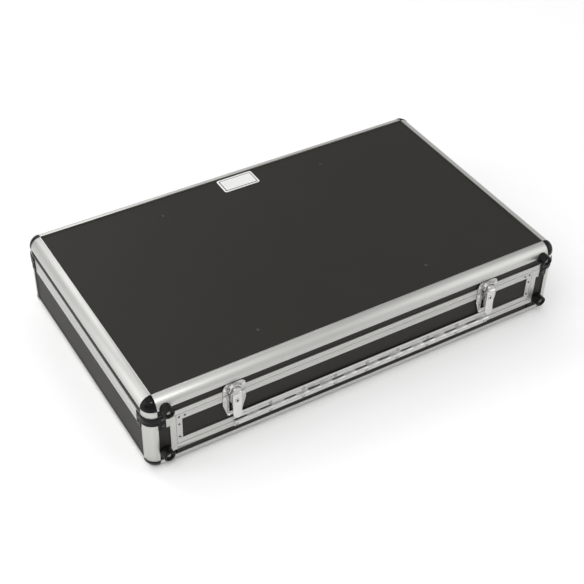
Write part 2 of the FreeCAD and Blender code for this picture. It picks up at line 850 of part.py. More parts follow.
# ---- deck that carries the pedals, with cable holes, risers and a hook-and-loop cover
deck_bottom = deck_top - deck_thickness
deck_x = half_width - profile_depth - deck_edge_gap
deck_y = half_depth - profile_depth - deck_edge_gap
riser_x = half_width - riser_inset
risers = []
for centre in (-riser_x, 0, riser_x):
    riser_half = riser_width / 2
    risers.append(box(
        centre - riser_half, centre + riser_half, -inner_y + edge_slot, inner_y - edge_slot,
        floor_board_top, deck_bottom))
nodes["deck_risers"] = group(risers)
hole_x = half_width - grommet_inset_x
hole_y = half_depth - grommet_inset_y


def upright(radius, z0, z1):
    return rod(radius, z1 - z0, V(hole_x, hole_y, z0), V(0, 0, 1))


deck = box(-deck_x, deck_x, -deck_y, deck_y, deck_bottom, deck_top)
nodes["deck_board"] = deck.cut(four_corners(upright(grommet_hole_radius, deck_bottom, deck_top)))
grommet_sleeve = grommet_hole_radius - fastener_clearance
lip_radius = grommet_hole_radius + grommet_lip
sleeve = upright(grommet_sleeve, deck_bottom, deck_top)
lip_disc = upright(lip_radius, deck_top, deck_top + grommet_lip_height)
grommet_bore_radius = grommet_sleeve - grommet_wall
grommet_bore = upright(grommet_bore_radius, deck_bottom, deck_top + grommet_lip_height)
nodes["cable_grommets"] = group(four_corners(joined([sleeve, lip_disc]).cut(grommet_bore)))
carpet_x = deck_x - carpet_margin
carpet_y = deck_y - carpet_margin
carpet_top = deck_top + carpet_thickness
carpet = box(-carpet_x, carpet_x, -carpet_y, carpet_y, deck_top, carpet_top)
nodes["deck_carpet"] = carpet.cut(four_corners(upright(lip_radius + 1, deck_top, carpet_top)))

# ---- lid lining, badge plate and the four screws through the lid
foam_top = case_top - board_inner - split_gap
foam_x = inner_x - foam_margin
foam_y = inner_y - foam_margin
foam = box(-foam_x, foam_x, -foam_y, foam_y, foam_top - foam_thickness, foam_top)
screw_well_depth = fastener_grip
screw_well = rod(
    screw_head_radius + 1,
    screw_well_depth,
    V(lid_screw_x, lid_screw_y, foam_top - screw_well_depth),
    V(0, 0, 1),
)
nodes["lid_foam"] = foam.cut(four_corners(screw_well))
badge_y = half_depth - badge_from_back
board_face = case_top - board_recess
badge = box(
    -badge_width / 2, badge_width / 2, badge_y - badge_depth / 2, badge_y + badge_depth / 2,
    board_face, board_face + badge_thickness)
badge_edges = [edge for edge in badge.Edges if abs(edge.Length - badge_thickness) < 0.01]
nodes["badge_plate"] = badge.makeFillet(badge_corner, badge_edges)


# ---- fasteners: a domed head and a shank in a hole cut through what it holds
def domed_fastener(point, normal, head_radius, head_height, shank_radius, shank_length):
    """One rivet or screw; point is on the surface under its head, normal points outwards."""
    ball_radius = (head_radius ** 2 + head_height ** 2) / (2 * head_height)
    ball = Part.makeSphere(ball_radius, point - normal * (ball_radius - head_height))
    head = ball.common(rod(head_radius * 1.5, head_height * 1.5, point, normal))
    shank = rod(shank_radius, shank_length + head_height / 2, point - normal * shank_length, normal)
    return joined([head, shank])


holes = {}


def fasten(points, normal, head_radius, head_height, shank_radius, shank_length, hosts):
    """Fasteners of one kind at several points, with their holes noted for each host node."""
    made = []
    for point in points:
        made.append(domed_fastener(point, normal, head_radius, head_height, shank_radius, shank_length))
        hole_start = point - normal * (shank_length + fastener_clearance)
        hole_length = shank_length + fastener_clearance + head_height
        hole = rod(shank_radius + fastener_clearance, hole_length, hole_start, normal)
        for host in hosts:
            holes.setdefault(host, []).append(hole)
    return made


def mirrored(points):
    return points + [V(-point.x, point.y, point.z) for point in points]


front = V(0, -1, 0)
back = V(0, 1, 0)
right = V(1, 0, 0)
left = V(-1, 0, 0)
top = V(0, 0, 1)
rivet = (rivet_head_radius, rivet_head_height, rivet_radius)
skin_grip = board_recess

# rivets that hold the corner bands: one through each wing, on the front, back and sides
lid_rivets = []
base_rivets = []
band_sets = [
    (lid_rivets, (split_z + lid_rim_top) / 2, "lid_corner_bands",
     ["lid_rim_front", "lid_rims"], ["lid_rims"]),
    (base_rivets, (base_rim_bottom + split_z) / 2, "base_corner_bands",
     ["base_rims_front", "base_rims"], ["base_rims"]),
]
for rivets, z, bands, long_rims, side_rims in band_sets:
    grip = band_thickness + skin_grip
    wing_x = inner_x - band_wing + wing_rivet_inset
    wing_y = inner_y - band_wing + wing_rivet_inset
    front_y = front_face - band_thickness
    side_x = half_width + band_thickness
    rivets += fasten(mirrored([V(wing_x, front_y, z)]), front, *rivet, grip, [bands] + long_rims)
    rivets += fasten(mirrored([V(wing_x, -front_y, z)]), back, *rivet, grip, [bands] + long_rims)
    for y in (-wing_y, wing_y):
        rivets += fasten([V(side_x, y, z)], right, *rivet, grip, [bands] + side_rims)
        rivets += fasten([V(-side_x, y, z)], left, *rivet, grip, [bands] + side_rims)

# rear hinge rivets
rear_grip = rear_leaf + skin_grip
rear_rivet_rise = (rear_barrel_radius + barrel_notch_gap + rear_leaf_height) / 2
for x in (rear_x0 + rear_hinge_width / 6, rear_x1 - rear_hinge_width / 6):
    lid_points = mirrored([V(x, back_face + rear_leaf, split_z + rear_rivet_rise)])
    base_points = mirrored([V(x, back_face + rear_leaf, split_z - rear_rivet_rise)])
    small = (rivet_head_radius * 0.85, rivet_head_height, rivet_radius)
    lid_rivets += fasten(lid_points, back, *small, rear_grip, ["rear_hinge_lid_leaves", "lid_rims"])
    base_rivets += fasten(base_points, back, *small, rear_grip, ["rear_hinge_base_leaves", "base_rims"])

# latch rivets: two through each catch into the lid's front board, four through each mount
plate_face = front_face - latch_plate
board_grip = latch_plate + board_recess + fastener_grip
catch_rivet_x = (catch_half + arch_outer_radius) / 2
mount_upper_x = (rail_x + ear_thickness + mount_half) / 2
mount_lower_x = mount_foot - rivet_head_radius
catch_hosts = ["latch_catches", "lid_long_boards"]
mount_hosts = ["latch_mounts", "flap_board"]
rail_grip = latch_plate + skin_grip
flap_rivets = []
for side in (-1, 1):
    for sign in (-1, 1):
        x = side * latch_x + sign * catch_rivet_x
        point = V(x, plate_face, split_z + lid_rim_height + rivet_head_radius)
        lid_rivets += fasten([point], front, *rivet, board_grip, catch_hosts)
        x = side * latch_x + sign * mount_upper_x
        upper = V(x, plate_face, split_z - flap_top_rail / 2)
        flap_rivets += fasten([upper], front, *rivet, rail_grip, ["latch_mounts", "flap_top_rail"])
        x = side * latch_x + sign * mount_lower_x
        lower = V(x, plate_face, split_z - mount_drop + rivet_head_radius + 1)
        flap_rivets += fasten([lower], front, *rivet, board_grip, mount_hosts)

# press rivets at the corners of the flap's frame and of its opening
flap_corner_x = flap_half - frame_width / 2
flap_corner_points = [
    V(flap_corner_x, front_face, flap_top - flap_top_rail / 2),
    V(flap_corner_x - frame_width, front_face, flap_top - flap_top_rail / 2),
]
flap_stile_points = [
    V(flap_corner_x, front_face, rail_low - frame_width),
    V(flap_corner_x, front_face, rail_in + trim_web),
]
dimple = (rivet_radius * 1.1, rivet_head_height / 2, rivet_radius)
flap_rivets += fasten(mirrored(flap_corner_points), front, *dimple, skin_grip, ["flap_top_rail"])
flap_rivets += fasten(mirrored(flap_stile_points), front, *dimple, skin_grip, ["flap_stiles"])
trim_x = opening_x - frame_width / 2
trim_points = [V(trim_x, front_face, flap_top - trim_web), V(trim_x, front_face, sill_trim_bottom + trim_web)]
base_rivets += fasten(mirrored(trim_points), front, *dimple, skin_grip, ["flap_opening_trim"])

# handle bracket rivets
bracket_face = wall_y + bracket_plate
bracket_rivet_x = bracket_x - block_half + bracket_width - rivet_head_radius - 1
bracket_rivet_rise = bracket_height / 2 - 2 * rivet_head_radius
bracket_grip = bracket_plate + fastener_grip
for z in (handle_z - bracket_rivet_rise, handle_z + bracket_rivet_rise):
    points = mirrored([V(bracket_rivet_x, bracket_face, z)])
    base_rivets += fasten(points, back, *rivet, bracket_grip, ["handle_brackets", "base_back_board"])

# piano hinge screws, the same places on both leaves
screw_count = int((piano_length - 2 * piano_screw_margin) / piano_screw_pitch) + 1
first_x = piano_shift - piano_screw_pitch * (screw_count - 1) / 2
leaf_face = front_face - piano_leaf
screw_rise = (piano_barrel_radius + barrel_notch_gap + piano_upper_height - rivet_head_radius) / 2
screw_drop = (piano_barrel_radius + barrel_notch_gap + piano_lower_height) / 2
small_screw = (rivet_head_radius * 0.8, rivet_head_height * 0.8, rivet_radius)
screw_xs = [first_x + i * piano_screw_pitch for i in range(screw_count)]
upper_points = [V(x, leaf_face, flap_axis_z + screw_rise) for x in screw_xs]
lower_points = [V(x, leaf_face, flap_axis_z - screw_drop) for x in screw_xs]
screw_grip = piano_leaf + skin_grip
nodes["piano_hinge_upper_screws"] = group(
    fasten(upper_points, front, *small_screw, screw_grip, ["piano_hinge_upper_leaf", "flap_bottom_rail"]))
nodes["piano_hinge_lower_screws"] = group(
    fasten(lower_points, front, *small_screw, screw_grip, ["piano_hinge_lower_leaf", "flap_opening_trim"]))

# foot screws, seated in the feet's recesses
foot_screw_y = front_face - front_foot_height + foot_recess_depth
foot_grip = front_foot_height - foot_recess_depth + board_recess + fastener_grip
foot_screw = (foot_screw_head_radius, screw_head_height, foot_screw_radius)
upper_screw_points = mirrored([V(upper_foot_x, foot_screw_y, upper_foot_z)])
lower_screw_points = mirrored([V(lower_foot_x, foot_screw_y, lower_foot_z)])
upper_hosts = ["front_feet_upper", "lid_edges", "lid_long_boards"]
lower_hosts = ["front_feet_lower", "base_cheek_boards"]
nodes["upper_foot_screws"] = group(fasten(upper_screw_points, front, *foot_screw, foot_grip, upper_hosts))
nodes["lower_foot_screws"] = group(fasten(lower_screw_points, front, *foot_screw, foot_grip, lower_hosts))

# lid screws
lid_screw = (screw_head_radius, screw_head_height * 0.8, screw_radius)
lid_screw_points = mirrored([
    V(lid_screw_x, lid_screw_y, board_face),
    V(lid_screw_x, -lid_screw_y, board_face),
])
lid_screw_grip = board_thickness + fastener_grip / 2
nodes["lid_screws"] = group(fasten(lid_screw_points, top, *lid_screw, lid_screw_grip, ["lid_top_board"]))

nodes["lid_rivets"] = group(lid_rivets)
nodes["base_rivets"] = group(base_rivets)
nodes["flap_rivets"] = group(flap_rivets)
for host, cutters in holes.items():
    nodes[host] = group([solid.cut(cutters) for solid in nodes[host].Solids])

os.makedirs("parts", exist_ok=True)
for name, shape in nodes.items():
    assert shape.isValid(), name
    shape.exportStep("parts/" + name + ".step")
print(len(nodes), "nodes written")
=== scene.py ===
import json
import math

import bmesh
import bpy
from mathutils import Matrix, Vector

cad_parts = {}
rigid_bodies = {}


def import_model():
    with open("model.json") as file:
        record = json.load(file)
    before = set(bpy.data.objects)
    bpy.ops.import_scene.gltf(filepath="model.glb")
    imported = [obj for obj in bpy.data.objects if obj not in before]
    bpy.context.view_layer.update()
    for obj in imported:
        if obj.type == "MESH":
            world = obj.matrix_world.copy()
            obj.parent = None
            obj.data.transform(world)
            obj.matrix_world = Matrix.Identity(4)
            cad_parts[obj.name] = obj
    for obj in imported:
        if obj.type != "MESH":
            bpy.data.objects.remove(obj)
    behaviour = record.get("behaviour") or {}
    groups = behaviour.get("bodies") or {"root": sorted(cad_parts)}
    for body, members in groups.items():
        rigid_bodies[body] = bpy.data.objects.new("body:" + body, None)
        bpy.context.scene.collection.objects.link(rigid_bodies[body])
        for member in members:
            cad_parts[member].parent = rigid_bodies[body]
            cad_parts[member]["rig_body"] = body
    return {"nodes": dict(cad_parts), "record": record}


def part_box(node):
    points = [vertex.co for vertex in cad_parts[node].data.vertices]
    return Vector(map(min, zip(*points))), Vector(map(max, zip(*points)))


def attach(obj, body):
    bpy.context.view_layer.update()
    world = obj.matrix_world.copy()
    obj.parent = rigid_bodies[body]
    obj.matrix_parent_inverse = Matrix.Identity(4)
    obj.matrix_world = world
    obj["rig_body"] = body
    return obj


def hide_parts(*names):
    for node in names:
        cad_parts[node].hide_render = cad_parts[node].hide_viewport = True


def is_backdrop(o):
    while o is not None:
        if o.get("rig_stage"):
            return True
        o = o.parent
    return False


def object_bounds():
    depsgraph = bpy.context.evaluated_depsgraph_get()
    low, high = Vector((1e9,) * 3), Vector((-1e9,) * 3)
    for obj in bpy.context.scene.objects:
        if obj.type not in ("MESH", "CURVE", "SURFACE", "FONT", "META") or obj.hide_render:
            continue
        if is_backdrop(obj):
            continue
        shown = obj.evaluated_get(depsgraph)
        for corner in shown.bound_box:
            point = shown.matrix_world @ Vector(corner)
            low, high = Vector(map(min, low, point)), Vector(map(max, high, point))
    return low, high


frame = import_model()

cadLow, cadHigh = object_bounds()
print("frame loaded,", len(frame["nodes"]), "nodes")


# small helpers

def clearSelection():
    if bpy.context.object and bpy.context.object.mode != "OBJECT":
        bpy.ops.object.mode_set(mode="OBJECT")
    bpy.ops.object.select_all(action="DESELECT")


def pickOnly(obj):
    clearSelection()
    bpy.context.view_layer.objects.active = obj
    obj.select_set(True)


def placed(obj):
    # bakes the place, turn and size into the mesh
    pickOnly(obj)
    bpy.ops.object.transform_apply(location=True, rotation=True, scale=True)
    return obj


def named(name):
    obj = bpy.context.object
    obj.name = name
    obj.data.name = name
    return obj


def addBlock(name, low, high):
    clearSelection()
    low, high = Vector(low), Vector(high)
    bpy.ops.mesh.primitive_cube_add(size=1, location=(low + high) / 2, scale=high - low)
    return placed(named(name))


def addGrid(name, low, high, across, along):
    # a flat grid over the box's floor
    clearSelection()
    bpy.ops.mesh.primitive_grid_add(x_subdivisions=across, y_subdivisions=along, size=1)
    grid = named(name)
    grid.dimensions = (high.x - low.x, high.y - low.y, 0)
    grid.location = ((low.x + high.x) / 2, (low.y + high.y) / 2, low.z)
    return placed(grid)


def addRound(name, radius, start, end, sides=32):
    # a cylinder between two points
    clearSelection()
    start, end = Vector(start), Vector(end)
    along = end - start
    bpy.ops.mesh.primitive_cylinder_add(vertices=sides, radius=radius, depth=along.length,
                                        location=(start + end) / 2,
                                        rotation=along.to_track_quat("Z", "Y").to_euler())
    return placed(named(name))


def chooseFaces(obj, test):
    # goes into edit mode with just these faces selected; test gets centre and normal
    pickOnly(obj)
    bpy.ops.object.mode_set(mode="EDIT")
    bpy.ops.mesh.select_mode(type="FACE")
    bpy.ops.mesh.select_all(action="DESELECT")
    mesh = bmesh.from_edit_mesh(obj.data)
    for face in mesh.faces:
        face.select_set(bool(test(face.calc_center_median(), face.normal)))
    bmesh.update_edit_mesh(obj.data)


def chooseEdges(obj, test):
    # the same for edges; test gets the two ends
    pickOnly(obj)
    bpy.ops.object.mode_set(mode="EDIT")
    bpy.ops.mesh.select_mode(type="EDGE")
    bpy.ops.mesh.select_all(action="DESELECT")
    mesh = bmesh.from_edit_mesh(obj.data)
    for edge in mesh.edges:
        edge.select_set(bool(test(edge.verts[0].co, edge.verts[1].co)))
    bmesh.update_edit_mesh(obj.data)


def leaveEdit():
    bpy.ops.object.mode_set(mode="OBJECT")


smoothAngle = math.radians(40)
mergeGap = 0.000004  # triangle corners closer than this are one corner
flatTurn = math.radians(0.6)  # faces closer to level than this become one face


def bevelled(obj, width, segments=2, angle=30):
    pickOnly(obj)
    bevel = obj.modifiers.new("softEdge", "BEVEL")
    bevel.width = width
    bevel.segments = segments
    bevel.limit_method = "ANGLE"
    bevel.angle_limit = math.radians(angle)
    bevel.use_clamp_overlap = True
    bpy.ops.object.modifier_apply(modifier=bevel.name)
    bpy.ops.object.shade_smooth_by_angle(angle=smoothAngle)
    return obj


def cutWith(obj, cutter):
    pickOnly(obj)
    cut = obj.modifiers.new("cut", "BOOLEAN")
    cut.operation = "DIFFERENCE"
    cut.solver = "EXACT"
    cut.object = cutter
    bpy.ops.object.modifier_apply(modifier=cut.name)
    bpy.data.objects.remove(cutter)
    return obj


def joinedAs(name, parts):
    clearSelection()
    for part in parts:
        part.select_set(True)
    bpy.context.view_layer.objects.active = parts[0]
    if len(parts) > 1:
        bpy.ops.object.join()
    return named(name)


def copied(obj, name, move):
    # a copy with its own mesh, moved by a matrix
    twin = obj.copy()
    twin.data = obj.data.copy()
    twin.name = name
    bpy.context.scene.collection.objects.link(twin)
    twin.data.transform(move)
    return twin


def bodyOf(node):
    return frame["nodes"][node]["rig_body"]


def finished(obj, body, material, nodes=()):
    obj.data.materials.clear()
    obj.data.materials.append(material)
    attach(obj, body)
    if nodes:
        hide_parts(*nodes)
    return obj


def cleanCopy(node, name):
    # a merged copy of a CAD node, with its flat faces whole again
    source = frame["nodes"][node]
    twin = source.copy()
    twin.data = source.data.copy()
    for key in list(twin.keys()):
        del twin[key]
    twin.parent = None
    twin.hide_render = False
    twin.hide_viewport = False
    twin.name = name
    twin.data.name = name
    bpy.context.scene.collection.objects.link(twin)
    pickOnly(twin)
    bpy.ops.object.mode_set(mode="EDIT")
    bpy.ops.mesh.select_all(action="SELECT")
    bpy.ops.mesh.remove_doubles(threshold=mergeGap)
    bpy.ops.mesh.dissolve_limited(angle_limit=flatTurn)
    bpy.ops.object.mode_set(mode="OBJECT")
    bpy.ops.mesh.customdata_custom_splitnormals_clear()
    return twin


def looseBoxes(node):
    # lowest and highest corner of each separate solid in a node
    probe = cleanCopy(node, "probe")
    pickOnly(probe)
    bpy.ops.object.mode_set(mode="EDIT")
    bpy.ops.mesh.select_all(action="SELECT")
    bpy.ops.mesh.separate(type="LOOSE")
    bpy.ops.object.mode_set(mode="OBJECT")
    boxes = []
    for part in list(bpy.context.selected_objects):
        points = [v.co for v in part.data.vertices]
        low = Vector([min(p[k] for p in points) for k in range(3)])
        high = Vector([max(p[k] for p in points) for k in range(3)])
        boxes.append((low, high))
        bpy.data.objects.remove(part)
    return sorted(boxes, key=lambda pair: tuple(round(x, 4) for x in pair[0]))


# shared surface effects

def newGroup(name, inputs, outputs):
    group = bpy.data.node_groups.new(name, "ShaderNodeTree")
    for label, value in inputs.items():
        socket = group.interface.new_socket(name=label, in_out="INPUT",
                                            socket_type="NodeSocketFloat")
        socket.default_value = value
    for label in outputs:
        group.interface.new_socket(name=label, in_out="OUTPUT", socket_type="NodeSocketFloat")
    return group, group.nodes.new("NodeGroupInput"), group.nodes.new("NodeGroupOutput")


def link(tree, source, target):
    tree.links.new(source, target)


def mathNode(tree, kind, first, second):
    node = tree.nodes.new("ShaderNodeMath")
    node.operation = kind
    for k, value in enumerate((first, second)):
        if isinstance(value, (int, float)):
            node.inputs[k].default_value = value
        else:
            link(tree, value, node.inputs[k])
    return node.outputs[0]


def buildHandling():
    # broad smudges and fine speckle that change a surface's gloss and shade a little
    group, given, out = newGroup("handling", {"Broad": 9.0, "Fine": 700.0},
                                 ["Smudge", "Speckle"])
    place = group.nodes.new("ShaderNodeTexCoord")
    broad = group.nodes.new("ShaderNodeTexNoise")
    broad.inputs["Detail"].default_value = 4
    broad.inputs["Roughness"].default_value = 0.6
    fine = group.nodes.new("ShaderNodeTexNoise")
    fine.inputs["Detail"].default_value = 2
    link(group, place.outputs["Object"], broad.inputs["Vector"])
    link(group, place.outputs["Object"], fine.inputs["Vector"])
    link(group, given.outputs["Broad"], broad.inputs["Scale"])
    link(group, given.outputs["Fine"], fine.inputs["Scale"])
    link(group, broad.outputs["Fac"], out.inputs["Smudge"])
    link(group, fine.outputs["Fac"], out.inputs["Speckle"])
    return group


def buildBrushed():
    # long fine streaks, stretched along one axis by the three sizes
    group, given, out = newGroup("brushed", {"Along X": 6.0, "Along Y": 6.0, "Along Z": 900.0},
                                 ["Streak"])
    place = group.nodes.new("ShaderNodeTexCoord")
    split = group.nodes.new("ShaderNodeSeparateXYZ")
    pack = group.nodes.new("ShaderNodeCombineXYZ")
    link(group, place.outputs["Object"], split.inputs[0])
    for axis in "XYZ":
        stretched = mathNode(group, "MULTIPLY", split.outputs[axis],
                             given.outputs["Along " + axis])
        link(group, stretched, pack.inputs[axis])
    noise = group.nodes.new("ShaderNodeTexNoise")
    noise.inputs["Scale"].default_value = 1
    noise.inputs["Detail"].default_value = 3
    link(group, pack.outputs[0], noise.inputs["Vector"])
    link(group, noise.outputs["Fac"], out.inputs["Streak"])
    return group


handling = buildHandling()
brushed = buildBrushed()


def newMaterial(name, look):
    material = bpy.data.materials.new(name)
    material.use_nodes = True
    tree = material.node_tree
    shader = tree.nodes["Principled BSDF"]
    shader.inputs["Metallic"].default_value = look.get("metal", 0.0)
    shader.inputs["Specular IOR Level"].default_value = look.get("specular", 0.5)
    return material, tree, shader


# the Mix node's colour sockets share their names with others, so they go by number
mixFactor, mixFirst, mixSecond, mixResult = 0, 6, 7, 2


def mixColours(tree, factor, dark, light):
    mix = tree.nodes.new("ShaderNodeMix")
    mix.data_type = "RGBA"
    mix.inputs[mixFirst].default_value = (*dark, 1)
    mix.inputs[mixSecond].default_value = (*light, 1)
    link(tree, factor, mix.inputs[mixFactor])
    return mix.outputs[mixResult]


def spread(tree, factor, low, high):
    node = tree.nodes.new("ShaderNodeMapRange")
    node.inputs["From Min"].default_value = 0.3
    node.inputs["From Max"].default_value = 0.7
    node.inputs["To Min"].default_value = low
    node.inputs["To Max"].default_value = high
    link(tree, factor, node.inputs["Value"])
    return node.outputs["Result"]


def bumped(tree, shader, height, strength, distance):
    bump = tree.nodes.new("ShaderNodeBump")
    bump.inputs["Strength"].default_value = strength
    bump.inputs["Distance"].default_value = distance
    link(tree, height, bump.inputs["Height"])
    link(tree, bump.outputs["Normal"], shader.inputs["Normal"])


def handledMaterial(name, look):
    # the common recipe: two close shades, a gloss that wanders, a fine grain in relief
    material, tree, shader = newMaterial(name, look)
    marks = tree.nodes.new("ShaderNodeGroup")
    marks.node_tree = handling
    marks.inputs["Broad"].default_value = look.get("broad", 9.0)
    marks.inputs["Fine"].default_value = look.get("fine", 700.0)
    both = mathNode(tree, "ADD", mathNode(tree, "MULTIPLY", marks.outputs["Smudge"], 0.5),
                    mathNode(tree, "MULTIPLY", marks.outputs["Speckle"], 0.5))
    link(tree, mixColours(tree, spread(tree, both, 0, 1), look["dark"], look["light"]),
         shader.inputs["Base Color"])
    link(tree, spread(tree, marks.outputs["Smudge"], *look["rough"]), shader.inputs["Roughness"])
    bumped(tree, shader, marks.outputs["Speckle"], look.get("relief", 0.1),
           look.get("depth", 0.0002))
    return material


def brushedMaterial(name, look):
    material, tree, shader = newMaterial(name, look)
    streaks = tree.nodes.new("ShaderNodeGroup")
    streaks.node_tree = brushed
    for axis, size in zip("XYZ", look["along"]):
        streaks.inputs["Along " + axis].default_value = size
    marks = tree.nodes.new("ShaderNodeGroup")
    marks.node_tree = handling
    marks.inputs["Broad"].default_value = look.get("broad", 7.0)
    streak = streaks.outputs["Streak"]
    link(tree, mixColours(tree, spread(tree, streak, 0, 1), look["dark"], look["light"]),
         shader.inputs["Base Color"])
    both = mathNode(tree, "ADD", mathNode(tree, "MULTIPLY", marks.outputs["Smudge"], 0.6),
                    mathNode(tree, "MULTIPLY", streak, 0.4))
    link(tree, spread(tree, both, *look["rough"]), shader.inputs["Roughness"])
    bumped(tree, shader, streak, look.get("relief", 0.05), 0.0001)
    return material


laminate = handledMaterial("blackLaminate", {
    "dark": (0.0145, 0.0133, 0.0108), "light": (0.0200, 0.0184, 0.0152), "rough": (0.48, 0.54),
    "fine": 1500.0, "broad": 5.0, "relief": 0.22, "depth": 0.00012, "specular": 0.17})
satin = {"metal": 1.0, "dark": (0.49, 0.49, 0.472), "light": (0.56, 0.56, 0.537),
         "rough": (0.4, 0.52)}
aluminium = brushedMaterial("satinAluminium", {**satin, "along": (9.0, 9.0, 1400.0)})
aluminiumUpright = brushedMaterial("satinAluminiumUpright", {
    **satin, "along": (1400.0, 1400.0, 9.0)})  # streaks run up the post
glossCorner = handledMaterial("glossBlackPlastic", {
    "dark": (0.0025, 0.0025, 0.0025), "light": (0.005, 0.005, 0.005), "rough": (0.1, 0.2),
    "fine": 400.0, "relief": 0.03, "specular": 0.13})
blackPlastic = handledMaterial("blackPlastic", {
    "dark": (0.004, 0.004, 0.004), "light": (0.008, 0.008, 0.0075), "rough": (0.3, 0.42),
    "fine": 1800.0, "relief": 0.15, "depth": 0.0001, "specular": 0.13})
rubber = handledMaterial("blackRubber", {
    "dark": (0.003, 0.003, 0.003), "light": (0.0065, 0.0065, 0.006), "rough": (0.28, 0.4),
    "fine": 1600.0, "relief": 0.2, "depth": 0.0001, "specular": 0.15})
chrome = handledMaterial("brightNickel", {
    "metal": 1.0, "dark": (0.60, 0.595, 0.58), "light": (0.70, 0.695, 0.68), "rough": (0.14, 0.26),
    "fine": 500.0, "broad": 30.0, "relief": 0.03})
# a darker copy of the latch nickel: painted shade on the latch plates round the lever
nickelPaintedShade = handledMaterial("nickelPaintedShade", {
    "metal": 1.0, "dark": (0.40, 0.395, 0.385), "light": (0.56, 0.555, 0.54), "rough": (0.2, 0.34),
    "fine": 500.0, "broad": 40.0, "relief": 0.05})
# flat black used as painted shade for the keyholes, the latch split, the latch arches, under the
# latch levers and above the hinge knuckles; also the real printed line on the badge
paintedShadeAndPrintBlack = handledMaterial("paintedShadeAndPrintBlack", {
    "dark": (0.002, 0.002, 0.002), "light": (0.006, 0.006, 0.006), "rough": (0.6, 0.8),
    "fine": 900.0, "relief": 0.05, "specular": 0.1})
zinc = handledMaterial("zincScrew", {
    "metal": 1.0, "dark": (0.20, 0.20, 0.195), "light": (0.34, 0.34, 0.33), "rough": (0.24, 0.38),
    "fine": 700.0, "relief": 0.05})
lockMetal = handledMaterial("lockNickel", {
    "metal": 1.0, "dark": (0.52, 0.51, 0.49), "light": (0.64, 0.63, 0.61), "rough": (0.18, 0.32),
    "fine": 900.0, "relief": 0.06})
steel = brushedMaterial("hingeSteel", {
    "metal": 1.0, "dark": (0.54, 0.54, 0.53), "light": (0.66, 0.66, 0.64), "rough": (0.24, 0.38),
    "along": (12.0, 900.0, 900.0)})
darkScrew = handledMaterial("darkScrew", {
    "metal": 0.9, "dark": (0.03, 0.03, 0.03), "light": (0.09, 0.09, 0.09), "rough": (0.3, 0.45),
    "fine": 900.0, "relief": 0.05})
rivetMetal = handledMaterial("rivetMetal", {
    "metal": 1.0, "dark": (0.52, 0.52, 0.50), "light": (0.72, 0.72, 0.70), "rough": (0.24, 0.36),
    "fine": 700.0, "relief": 0.05})
badgeMetal = brushedMaterial("badgeMetal", {
    "metal": 0.35, "dark": (0.72, 0.72, 0.71), "light": (0.86, 0.86, 0.85), "rough": (0.3, 0.42),
    "along": (10.0, 1200.0, 1200.0)})
plywood = brushedMaterial("blackPlywood", {
    "dark": (0.30, 0.21, 0.12), "light": (0.48, 0.36, 0.22), "rough": (0.5, 0.65),
    "along": (14.0, 240.0, 900.0), "relief": 0.2})
print("materials ready")

slotMaterials = {
    "black_laminate_board": laminate, "satin_aluminium": aluminium,
    "gloss_black_plastic": glossCorner,
    "black_plastic": blackPlastic, "black_rubber": rubber, "latch_chrome": chrome,
    "lock_brass_nickel": lockMetal, "hinge_steel": steel, "dark_screws": darkScrew,
    "rivet_metal": rivetMetal, "badge_metal": badgeMetal, "plywood": plywood,
}
slotOf = {part["node"]: part["material_slot"] for part in frame["record"]["subparts"]}
uprightNodes = ("base_corner_posts", "lid_corner_posts", "flap_stiles")


def finishOf(node):
    if node in uprightNodes:
        return aluminiumUpright
    if node in ("upper_foot_screws", "lower_foot_screws"):
        return zinc
    # the latch plates take the darker nickel copy, painted shade
    if node in ("latch_catches", "latch_mounts"):
        return nickelPaintedShade
    return slotMaterials.get(slotOf[node], blackPlastic)


for node, obj in frame["nodes"].items():
    obj.data.materials.clear()
    obj.data.materials.append(finishOf(node))


# metal and plastic parts get the small rounded edges they are made with

softEdges = {
    "base_edges": 0.0004, "lid_edges": 0.0004, "base_rims": 0.0004, "base_rims_front": 0.0004,
    "lid_rims": 0.0004, "lid_rim_front": 0.0004, "flap_opening_trim": 0.0004,
    "flap_top_rail": 0.0004, "flap_bottom_rail": 0.0004, "flap_stiles": 0.0004,
    "base_corner_posts": 0.0003, "lid_corner_posts": 0.0003,
    "base_corner_bands": 0.0004, "lid_corner_bands": 0.0004,
    "base_ball_corners": 0.0006, "lid_ball_corners": 0.0006,
    "latch_catches": 0.0005, "latch_mounts": 0.0004,
    "latch_lever_left": 0.0004, "latch_lever_right": 0.0004,
    "lock_plug_left": 0.0002, "lock_plug_right": 0.0002, "latch_pins": 0.0002,
    "piano_hinge_upper_leaf": 0.0002, "piano_hinge_lower_leaf": 0.0002,
    "rear_hinge_base_leaves": 0.0002, "rear_hinge_lid_leaves": 0.0002,
    "handle_brackets": 0.0005, "handle_bail": 0.0, "deck_board": 0.0005, "deck_risers": 0.0005,
}
softNames = {
    "base_ball_corners": "ballCornersBase", "lid_ball_corners": "ballCornersLid",
    "base_corner_bands": "cornerBandsBase", "lid_corner_bands": "cornerBandsLid",
    "latch_lever_left": "latchLeverLeft", "latch_lever_right": "latchLeverRight",
}
for node, width in softEdges.items():
    soft = cleanCopy(node, softNames.get(node, node + "_soft"))
    if width:
        bevelled(soft, width)
    else:
        pickOnly(soft)
        bpy.ops.object.shade_smooth_by_angle(angle=smoothAngle)
    finished(soft, bodyOf(node), finishOf(node), [node])
print("soft edges on", len(softEdges), "nodes")


# front feet: turned rubber with a sunk screw

footSizes = {"radius": 0.009, "height": 0.014, "rim": 0.0011, "mouth": 0.0054,
             "sink": 0.0032, "root": 0.002, "mouthRound": 0.0004}


